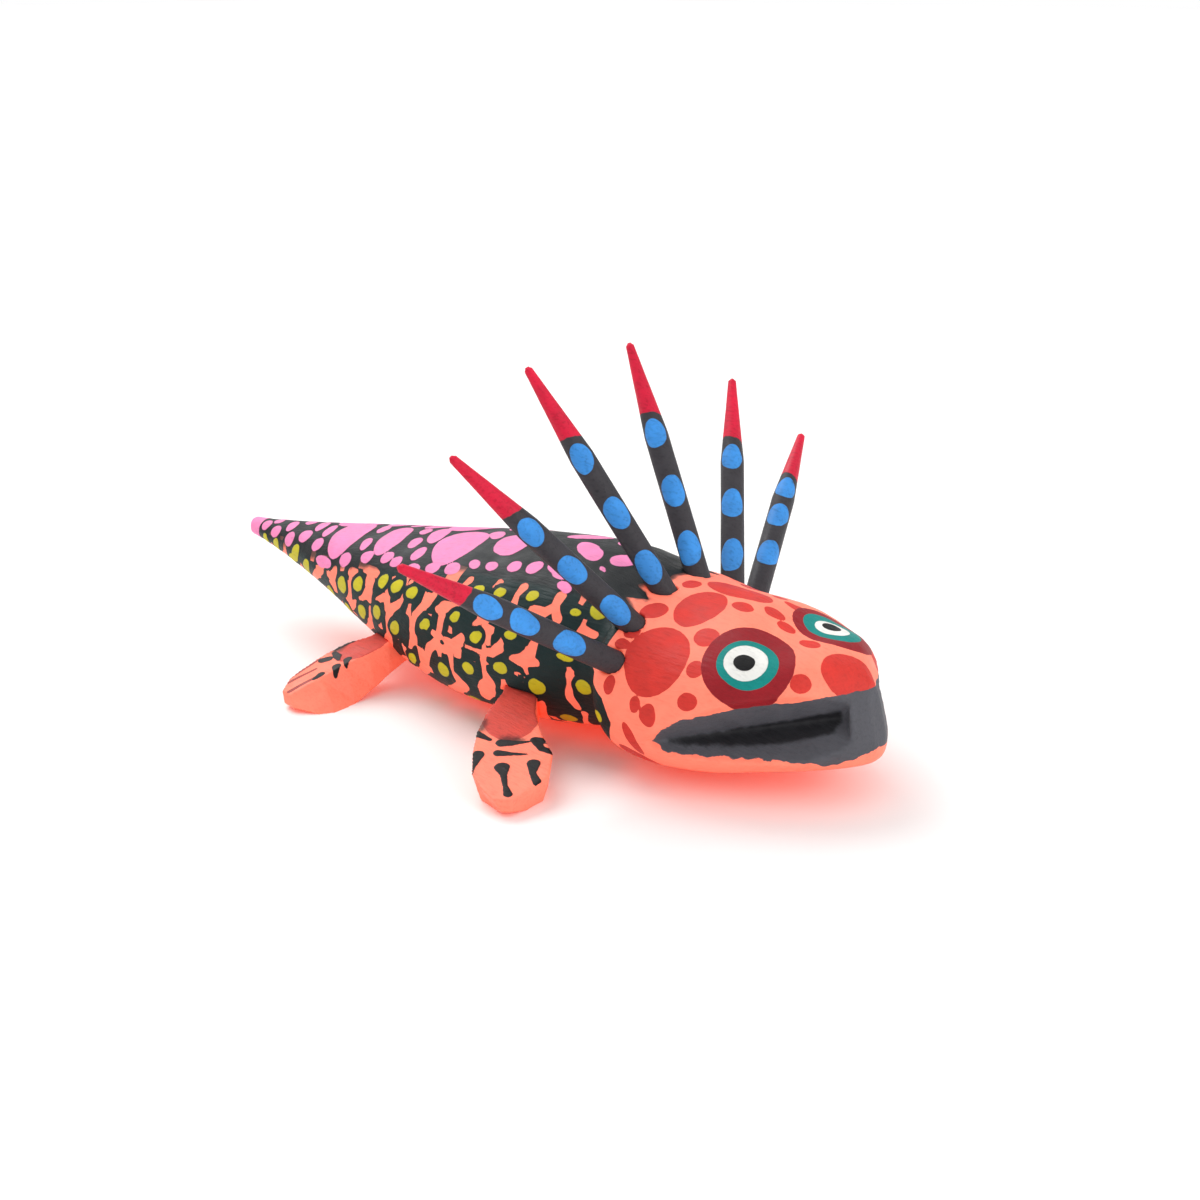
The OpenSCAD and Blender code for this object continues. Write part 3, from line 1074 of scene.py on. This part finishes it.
@dataclass
class CarvedBody:
    """The body with its head and tail, and all that is painted on it.

    Args:
        node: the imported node.
        box: the shared shader groups.
        carving: the tree that leaves the knife's marks.
        voxel: size of the mesh's faces in millimetres.
        sanding: how often it is gone over with sandpaper.
        mouth_keep: how well the mouth keeps its edges from the sandpaper, up to 1.
        mouth_ease: the distance over which that eases, in millimetres.
        axis_height: height of the axis that the angles are measured round, in millimetres.
        axis_rise: how it rises towards both ends.
        neck: points of (angle from the ridge, along) where the dark back ends behind the head.
        band_overlap: how far the blacker band reaches past that edge, in millimetres.
        tail_tip: where the pink tip of the tail begins.
        thick: how thick some of the paints stand, in millimetres.
        thick_ease: the distance over which they rise.
    """

    node: Piece
    box: PaintBox
    carving: CarvingTree
    voxel: float = 0.3
    sanding: int = 14
    mouth_keep: float = 0.75
    mouth_ease: float = 2.0
    axis_height: float = 10.4
    axis_rise: float = 0.0008
    neck: Line = (
        (0, -24.0), (14, -24.6), (24, -22.6), (36, -21.8), (44, -24.2), (55, -25.2), (75, -24.8), (80, -22.5),
        (90, -26.5), (100, -27.8), (120, -25.4), (180, -25.0),
    )
    band_overlap: float = 0.6
    tail_tip: float = 51.4
    thick: tuple[tuple[str, float], ...] = (
        ("pink", 0.05), ("yellow", 0.04), ("white", 0.05), ("pupil", 0.04), ("dark", 0.02),
    )
    thick_ease: float = 0.5
    back: BackMarks = field(default_factory=BackMarks)
    flank: FlankMarks = field(default_factory=FlankMarks)
    head: HeadMarks = field(default_factory=HeadMarks)

    def finish(self) -> PaintedFinish:
        """Returns the body's coats in the order that they are laid."""
        return PaintedFinish("Painted body", Paint.CORAL, (
            Coat(Paint.BOTTLE, "dark", 0.12, 0.9, 0.05),
            Coat(Paint.SOOT, "band", 0.6, 0.8, 0.5, 0.85, 0.0),
            Coat(Paint.PINK, "pink", 0.12, 0.9, 0.06, 1.0, 0.04),
            Coat(Paint.YELLOW, "yellow", 0.14, 1.4, 0.07, 0.96, 0.04),
            Coat(Paint.RED, "red", 0.1, 1.2, 0.05, 0.92),
            Coat(Paint.MAROON, "maroon", 0.1, 1.2, 0.05),
            Coat(Paint.TEAL, "teal", 0.06, 1.2, 0.04),
            Coat(Paint.WHITE, "white", 0.05, 1.4, 0.04, 1.0, 0.05),
            Coat(Paint.PUPIL, "pupil", 0.05, 2.0, 0.04, 1.0, 0.05),
            Coat(Paint.CHARCOAL, "mouth", 0.4, 0.8, 0.05),
            # Painted shade: a near black laid deep in the mouth's groove, where shade falls.
            Coat(Paint.SOOT, "throat", 0.35, 0.8, 0.3, 0.9, 0.0),
        # The coral ground gives off a painted glow.
        ), glow=0.4)

    def chart(self, places: Array) -> Chart:
        """Returns the body's surface unrolled, with the right side's angles above zero."""
        rise = places[:, 2] - self.axis_height - self.axis_rise * places[:, 1] ** 2
        around = np.degrees(np.arctan2(Side.RIGHT.value * places[:, 0], rise))
        return Chart(places[:, 1], around, np.hypot(places[:, 0], rise), places)

    def marks(self, places: Array) -> Fields:
        """Returns the distance fields of all the paints.

        Args:
            places: the vertices in millimetres.
        """
        chart, back, flank, head = self.chart(places), self.back, self.flank, self.head
        dots = flank.dots + other_side(flank.dots, 0.0, 0.0, flank.dot_stray)
        yellow = nearest_spot(chart, dots, flank.wobble)
        far = [spot for spot in back.spots if spot.around > back.ridge]
        pink = back.spots + other_side(far, back.slide, back.lower, back.stray)
        fields = self._dark(chart, yellow) | {
            "yellow": yellow,
            "pink": np.minimum(nearest_spot(chart, pink, back.wobble), self.tail_tip - chart.along),
            "red": nearest_spot(chart, head.spots + head.left_spots, head.spot_wobble),
            "mouth": self._between(places, head.upper_lip, head.lower_lip),
            # Painted shade inside the mouth's groove.
            "throat": self._between(places, head.throat_top, head.throat_floor),
        }
        for ring in ("maroon", "teal", "white", "pupil"):
            fields[ring] = nearest_spot(chart, [getattr(eye, ring) for eye in head.eyes], head.eye_wobble)
        return fields

    def _dark(self, chart: Chart, yellow: Array) -> Fields:
        """Returns the dark back and patches, and the part of them that is the blacker band.

        Args:
            chart: the surface unrolled.
            yellow: the distance from the yellow dots, each of which keeps a dark rim.
        """
        flank = self.flank
        girth = np.abs(chart.around)
        to_mm = math.radians(1) * chart.reach
        gaps = flank.gaps + other_side_strokes(flank.gaps, flank.gap_stray)
        lines = nearest_stroke(chart, gaps) - flank.swell * ease(flank.swell_reach - yellow, flank.swell_ease)
        lines = np.maximum(lines, flank.rim - yellow)
        lobes = sum(height * np.sin(turns * chart.along + start) for height, turns, start in flank.lobes)
        belly = (girth - flank.belly_angle - lobes) * to_mm
        neck_angles, neck_places = np.array(self.neck).T
        neck = np.interp(girth, neck_angles, neck_places) - chart.along
        smears = nearest_stroke(chart, flank.smears)
        band_places, band_angles = np.array(flank.band).T
        band = (girth - np.interp(chart.along, band_places, band_angles)) * to_mm
        return {
            "dark": np.minimum(np.maximum.reduce([-lines, belly, neck]), smears),
            "band": np.minimum(np.maximum(band, neck - self.band_overlap), smears),
        }

    @staticmethod
    def _between(places: Array, top: Sequence, low: Sequence) -> Array:
        """Returns the distance from the part of the head that lies between two edges.

        Args:
            places: the vertices in millimetres.
            top: points of (along, height) on the upper edge, from front to back.
            low: the same for the lower edge.
        """
        top_places, top_heights = np.array(top).T
        low_places, low_heights = np.array(low).T
        along, height = places[:, 1], places[:, 2]
        return np.maximum.reduce([
            height - np.interp(along, top_places, top_heights),
            np.interp(along, low_places, low_heights) - height,
            along - top_places[-1],
            top_places[0] - along,
        ])

    def build(self) -> None:
        """Carves, sands and paints the body."""
        mesh = fine_copy(self.node, self.voxel)
        mouth = self._between(vertex_places(mesh), self.head.upper_lip, self.head.lower_lip)
        sand(mesh, 1 - self.mouth_keep * ease(mouth, self.mouth_ease), self.sanding)
        mesh = self.carving.run("body_carved", mesh, {}, self.finish().make(self.box))
        places = vertex_places(mesh)
        fields = self.marks(places)
        raised = np.zeros(len(places))
        for name, height in self.thick:
            raised += height * ease(fields[name], self.thick_ease)
        places += vertex_normals(mesh) * raised[:, None]
        add_piece(mesh, places, fields, FIGURE, self.node.name)


# Legs, rods, dowels


@dataclass(frozen=True)
class LegPlan:
    """Where a pair of legs joins the body, and what is painted on top of each.

    Args:
        root: the axis where it crosses the flank, as x and y in millimetres on the left side.
        sweep: how far ahead of sideways it points, in degrees.
        patch: the red patch over its upper part.
        smudges: grey smears on that patch.
        marks: the charcoal marks on its foot.
        lines: the thin maroon lines between its toes.
    """

    root: tuple[float, float]
    sweep: float
    patch: Spot
    smudges: tuple[Spot, ...]
    marks: tuple[Stroke, ...]
    lines: tuple[Stroke, ...] = ()


FRONT_LEGS = LegPlan(
    (13.0, -11.0), 37.4, Spot(4.2, -1.0, 13.2, 7.8),
    ovals((7.6, -4.4, 2.6, 1.6), (10.4, -0.6, 1.1, 3.0)),
    brushed(
        ((9.4, -4.9, 1.2), (10.6, -3.1, 0.5)),
        ((11.2, -1.7, 1.4), (11.1, -0.2, 0.9), (10.8, 1.6, 0.3)),
        ((13.1, -1.9, 1.2), (13.2, -0.4, 0.7), (13.2, 1.5, 0.3)),
        ((10.5, 2.3, 1.3), (12.1, 3.1, 0.9), (12.7, 4.6, 1.1)),
        ((10.5, 2.5, 1.2), (10.7, 4.2, 0.9)),
        ((13.4, -4.2, 1.5), (15.6, -4.7, 0.9), (17.6, -4.8, 0.6)),
        ((15.8, -1.2, 1.9), (17.2, -0.9, 0.8), (19.2, -0.5, 0.6), (20.6, -0.1, 1.1)),
        ((15.0, 2.4, 1.7), (16.6, 2.4, 0.8), (18.4, 3.1, 1.1)),
    ),
)
REAR_LEGS = LegPlan(
    (10.5, 16.5), -10.9, Spot(2.0, -1.0, 9.0, 5.4),
    ovals((4.8, -3.4, 2.4, 1.0)),
    brushed(
        ((2.4, -3.4, 0.7), (5.0, -3.9, 0.9)),
        ((5.6, -3.2, 0.7), (5.9, -2.0, 1.2), (6.3, -1.0, 0.5)),
        ((7.6, -3.0, 1.2), (6.9, -2.5, 1.2)),
        ((7.4, 0.2, 1.3), (8.1, 1.0, 0.6)),
        ((5.6, 0.1, 1.2), (6.4, 0.9, 0.6)),
        ((9.6, -0.1, 1.1), (10.8, 0.1, 0.6)),
    ),
    brushed(
        ((7.6, -3.7, 0.4), (12.8, -3.3, 0.6)),
        ((9.2, -2.0, 0.4), (13.4, -2.5, 0.6)),
        ((9.6, -0.1, 0.5), (14.2, -0.4, 0.7)),
    ),
)


@dataclass
class CarvedLeg:
    """One leg with its foot.

    Args:
        node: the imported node.
        plan: its place and its paint.
        side: the side of the figure that it is on.
        carving: the tree that leaves the knife's marks.
        material: the painted finish, shared by the legs.
        voxel: size of the mesh's faces in millimetres.
        sanding: how often it is gone over with sandpaper.
        top_slope: how level the wood has to be to count as the leg's top, up to 1.
        top_edge: how sharply the top's paint ends there.
        mark_spill: how far the charcoal marks run over that edge.
        mark_height: how thick they stand, in millimetres.
        mark_ease: the distance over which they rise.
        patch_wobble: how uneven the patch's outline is.
        smudge_wobble: the same for the smudges.
    """

    node: Piece
    plan: LegPlan
    side: Side
    carving: CarvingTree
    material: Material
    voxel: float = 0.17
    sanding: int = 16
    top_slope: float = 0.55
    top_edge: float = 3.0
    mark_spill: float = 0.6
    mark_height: float = 0.04
    mark_ease: float = 0.4
    patch_wobble: float = 0.05
    smudge_wobble: float = 0.1

    @staticmethod
    def finish() -> PaintedFinish:
        """Returns the legs' coats in the order that they are laid."""
        return PaintedFinish("Painted legs", Paint.CORAL, (
            Coat(Paint.RED, "patch", 0.2, 0.8, 0.12, 0.78),
            Coat(Paint.MAROON, "lines", 0.08, 1.5, 0.08, 0.8),
            Coat(Paint.SOOT, "smudge", 0.7, 1.5, 0.7, 0.75, 0.0),
            Coat(Paint.SOOT, "marks", 0.12, 1.4, 0.05, 1.0, 0.04),
        # The coral ground gives off a painted glow.
        ), glow=0.4, streaks=0.3)

    def build(self) -> None:
        """Carves, sands and paints the leg."""
        mesh = fine_copy(self.node, self.voxel)
        sand(mesh, np.ones(len(mesh.vertices)), self.sanding)
        seed = self.plan.sweep + self.side.value
        mesh = self.carving.run(self.node.name + "_carved", mesh, {"Seed": seed}, self.material)
        places, normals = vertex_places(mesh), vertex_normals(mesh)
        sweep = math.radians(self.plan.sweep)
        away = np.array([math.cos(sweep) * self.side.value, -math.sin(sweep)])
        ahead = np.array([-math.sin(sweep) * self.side.value, -math.cos(sweep)])
        start = np.array([self.plan.root[0] * self.side.value, self.plan.root[1]])
        chart = FlatChart((places[:, :2] - start) @ away, (places[:, :2] - start) @ ahead)
        under = (self.top_slope - normals[:, 2]) * self.top_edge
        fields = {
            "patch": np.maximum(spot_distance(chart, self.plan.patch, self.patch_wobble), under),
            "smudge": np.maximum(nearest_spot(chart, self.plan.smudges, self.smudge_wobble), under),
            "marks": np.maximum(nearest_stroke(chart, self.plan.marks), under - self.mark_spill),
            "lines": np.maximum(nearest_stroke(chart, self.plan.lines), under),
        }
        places += normals * (self.mark_height * ease(fields["marks"], self.mark_ease))[:, None]
        add_piece(mesh, places, fields, FIGURE, self.node.name)


@dataclass(frozen=True)
class RodMarks:
    """What is painted on a gill rod, as shares of the length that stands out of the head.

    Args:
        dots: the places of the dots on its front.
        tip_start: where the red tip begins.
        tip_slope: how far the tip's edge runs aslant, in millimetres.
        tip_turn: the side that it slants to, in degrees.
        dot_length: length of the lowest dot in millimetres.
        dot_width: its width.
        dot_shrink: how much smaller each next dot is.
        dot_slant: how far a dot leans, in degrees.
        dot_spin: how quickly the lean changes from dot to dot.
        back_shift: how far above each dot the one on the rod's back lies.
        back_length: how long that one is, as a share of the front one's length.
        wobble: how uneven the outlines are.
    """

    dots: tuple[float, ...]
    tip_start: float
    tip_slope: float = 0.5
    tip_turn: float = 40
    dot_length: float = 4.4
    dot_width: float = 3.3
    dot_shrink: float = 0.06
    dot_slant: float = 8
    dot_spin: float = 5
    back_shift: float = 0.1
    back_length: float = 0.9
    wobble: float = 0.07


ROD_MARKS = {
    "low": RodMarks((0.2, 0.43, 0.61), 0.69),
    "middle": RodMarks((0.1, 0.35, 0.58), 0.67),
    "high": RodMarks((0.085, 0.33, 0.585), 0.67),
}


@dataclass
class GillRod:
    """One gill rod: a whittled peg pushed into the head.

    Args:
        node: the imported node.
        axis: the way that it points.
        marks: what is painted on it.
        tree: the tree that whittles it.
        material: the painted finish, shared by the rods.
        peg_depth: the length that is in the head, in millimetres.
        foot: how near the lowest vertex the others of its foot lie, in millimetres.
        facing: the way that its dots face.
    """

    node: Piece
    axis: Array
    marks: RodMarks
    tree: RodTree
    material: Material
    peg_depth: float = 7.0
    foot: float = 0.01
    facing: Triple = (-0.80, -0.50, 0.33)

    @staticmethod
    def finish() -> PaintedFinish:
        """Returns the rods' coats in the order that they are laid."""
        return PaintedFinish("Painted rods", Paint.ROD, (
            Coat(Paint.SKY, "sky", 0.12, 0.9, 0.05, 0.97, 0.04),
            Coat(Paint.CRIMSON, "tip", 0.35, 0.7, 0.08, 0.95),
        ), streaks=0.4, mottle=0.5, grain=0.0)

    def build(self) -> None:
        """Whittles, places and paints the rod."""
        solid = vertex_places(self.node.data)
        run = solid @ self.axis
        low, high = float(run.min()), float(run.max())
        foot = solid[run < low + self.foot]
        base = foot.mean(axis=0)
        radius = float(np.linalg.norm(foot - base, axis=1).max())
        sizes = {"Length": (high - low) * MM, "Radius": radius * MM, "Seed": abs(base[0]) + base[2]}
        mesh = self.tree.run(self.node.name + "_whittled", bpy.data.meshes.new("start"), sizes, self.material)
        places = vertex_places(mesh)
        toward = np.array(self.facing) - self.axis * float(np.dot(self.facing, self.axis))
        toward /= np.linalg.norm(toward)
        turn = np.stack([toward, np.cross(self.axis, toward), self.axis])
        around = np.degrees(np.arctan2(places[:, 1], places[:, 0]))
        chart = Chart(places[:, 2], around, np.full(len(places), radius), places)
        fields = self._fields(chart, high - low - self.peg_depth)
        add_piece(mesh, places @ turn + base, fields, self.node.name, self.node.name)

    def _fields(self, chart: Chart, shown: float) -> Fields:
        """Returns the distance fields of the dots and the tip.

        Args:
            chart: the rod's surface unrolled.
            shown: the length that stands out of the head, in millimetres.
        """
        marks = self.marks
        spots = []
        for index, share in enumerate(marks.dots):
            along = self.peg_depth + share * shown
            slant = marks.dot_slant * math.sin(marks.dot_spin * share + self.axis[0])
            grow = 1 - marks.dot_shrink * index
            length, width = marks.dot_length * grow, marks.dot_width * grow
            back_length = marks.dot_length * marks.back_length * grow
            spots.append(Spot(along, slant / 2, length, width, slant))
            spots.append(Spot(along + marks.back_shift * shown, 180 + slant, back_length, width, -slant))
        slope = marks.tip_slope * np.cos(np.radians(chart.around + marks.tip_turn))
        tip = self.peg_depth + marks.tip_start * shown + slope - chart.along
        return {"sky": nearest_spot(chart, spots, marks.wobble), "tip": tip}


@dataclass
class Dowels:
    """The bare wooden dowels that hold the legs, hidden in the body."""

    nodes: dict[str, Piece]
    box: PaintBox

    def build(self) -> None:
        """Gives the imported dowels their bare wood."""
        material = PaintedFinish("Bare wood", Paint.WOOD, mottle=0.4, grain=0.06).make(self.box)
        for name, node in self.nodes.items():
            if name.endswith("_dowel"):
                node.data.materials.clear()
                node.data.materials.append(material)
                LOG.info("%s: bare wood", name)


# Studio


@dataclass(frozen=True)
class Lamp:
    """A soft square light: its place and size in metres, and its power in watts."""

    name: str
    place: Triple
    size: float
    power: float


@dataclass
class Studio:
    """A white table in a bright, even room, with the camera above the animal's right shoulder.

    Args:
        eye: the camera's place.
        target: the place that the camera and the lamps are aimed at.
        lens: its focal length in millimetres.
        sensor: its sensor's width in millimetres.
        near: the nearest that it sees.
        walls: how bright the room is along its walls.
        overhead: how bright it is overhead.
        wall_tops: the heights of direction between which one passes into the other.
        table: the table top's width.
        table_roughness: how dull it is.
        sweep_reach: the distances between which the light from below it comes up.
        sweep_light: how strong that light is.
        lamps: the lamps.
    """

    eye: Triple = (-0.1691, -0.1538, 0.0913)
    target: Triple = (0.0027, -0.0102, 0.0144)
    lens: float = 55.37
    sensor: float = 36.0
    near: float = 0.005
    walls: float = 1.0
    overhead: float = 0.25
    wall_tops: tuple[float, float] = (0.15, 0.4)
    table: float = 8.0
    table_roughness: float = 0.55
    sweep_reach: tuple[float, float] = (0.2, 0.8)
    sweep_light: float = 0.65
    lamps: tuple[Lamp, ...] = (
        Lamp("Ceiling light", (0.0, 0.0, 1.6), 6.0, 74.0),
        Lamp("Tail light", (0.15, 0.8, 0.9), 0.8, 9.0),
        Lamp("Front light", (0.0, -0.7, 0.3), 0.5, 1.7),
    )

    def build(self) -> None:
        """Sets up the table, the lights, the room and the camera."""
        self._table()
        self._room()
        for lamp in self.lamps:
            data = bpy.data.lights.new(lamp.name, "AREA")
            data.shape = "SQUARE"
            data.size = lamp.size
            data.energy = lamp.power
            self._aimed(lamp.name, data, lamp.place)
        bpy.context.scene.view_settings.view_transform = "Standard"
        data = bpy.data.cameras.new("Camera")
        data.lens = self.lens
        data.sensor_width = self.sensor
        data.clip_start = self.near
        bpy.context.scene.camera = self._aimed("Camera", data, self.eye)

    def _aimed(self, name: str, data: bpy.types.ID, place: Triple) -> Piece:
        """Returns a new light or camera, put in its place and aimed at the figure."""
        aimed = show(name, data)
        aimed.location = place
        aimed.rotation_euler = (Vector(self.target) - Vector(place)).to_track_quat("-Z", "Y").to_euler()
        return aimed

    def _room(self) -> None:
        """Surrounds the table with a room that is white along the walls and dimmer overhead."""
        world = bpy.data.worlds.new("Bright room")
        world.use_nodes = True
        wires = Wires(world.node_tree)
        way = wires.add("ShaderNodeTexCoord").outputs["Generated"]
        height = wires.add("ShaderNodeSeparateXYZ", {0: way}).outputs["Z"]
        strength = wires.carry(height, *self.wall_tops, self.walls, self.overhead, smooth=True)
        wires.fill(world.node_tree.nodes["Background"], {"Color": (1.0, 1.0, 1.0, 1.0), "Strength": strength})
        bpy.context.scene.world = world

    def _table(self) -> None:
        """Lays the white table top, whose far part is lit from below so that it ends in white."""
        half = self.table / 2
        mesh = bpy.data.meshes.new("table")
        corners = [(-half, -half, 0), (half, -half, 0), (half, half, 0), (-half, half, 0)]
        mesh.from_pydata(corners, [], [(0, 1, 2, 3)])
        material = bpy.data.materials.new("White table")
        material.use_nodes = True
        wires = Wires(material.node_tree)
        place = wires.add("ShaderNodeTexCoord").outputs["Object"]
        far = wires.add("ShaderNodeVectorMath", {0: place}, operation="LENGTH").outputs["Value"]
        wires.fill(material.node_tree.nodes["Principled BSDF"], {
            "Base Color": Paint.FLOOR.linear(),
            "Roughness": self.table_roughness,
            "Emission Color": wires.carry(far, *self.sweep_reach, 0.0, self.sweep_light, smooth=True),
            "Emission Strength": 1.0,
        })
        mesh.materials.append(material)
        show("table", mesh)


@dataclass
class Figure:
    """The whole figure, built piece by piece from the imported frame."""

    frame: dict
    box: PaintBox
    carving: CarvingTree
    rods: RodTree

    def build(self) -> None:
        """Builds the body, the legs, the rods and the dowels."""
        nodes = self.frame["nodes"]
        CarvedBody(nodes["body"], self.box, self.carving).build()
        leg_material = CarvedLeg.finish().make(self.box)
        for place, plan in {"front": FRONT_LEGS, "rear": REAR_LEGS}.items():
            for side in Side:
                node = nodes[f"{place}_{side.name.lower()}_leg"]
                CarvedLeg(node, plan, side, self.carving, leg_material).build()
        rod_material = GillRod.finish().make(self.box)
        for joint in self.frame["joints"]:
            height = joint["child"].rsplit("_", 1)[1]
            axis = np.array(joint["axis"], float)
            GillRod(nodes[joint["child"]], axis, ROD_MARKS[height], self.rods, rod_material).build()
        Dowels(nodes, self.box).build()


def main() -> None:
    """Loads the frame and builds the scene."""
    logging.basicConfig(level=logging.INFO, format="%(name)s: %(message)s")
    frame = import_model()
    Figure(frame, PaintBox(), CarvingTree(), RodTree()).build()
    Studio().build()


if __name__ == "__main__":
    main()
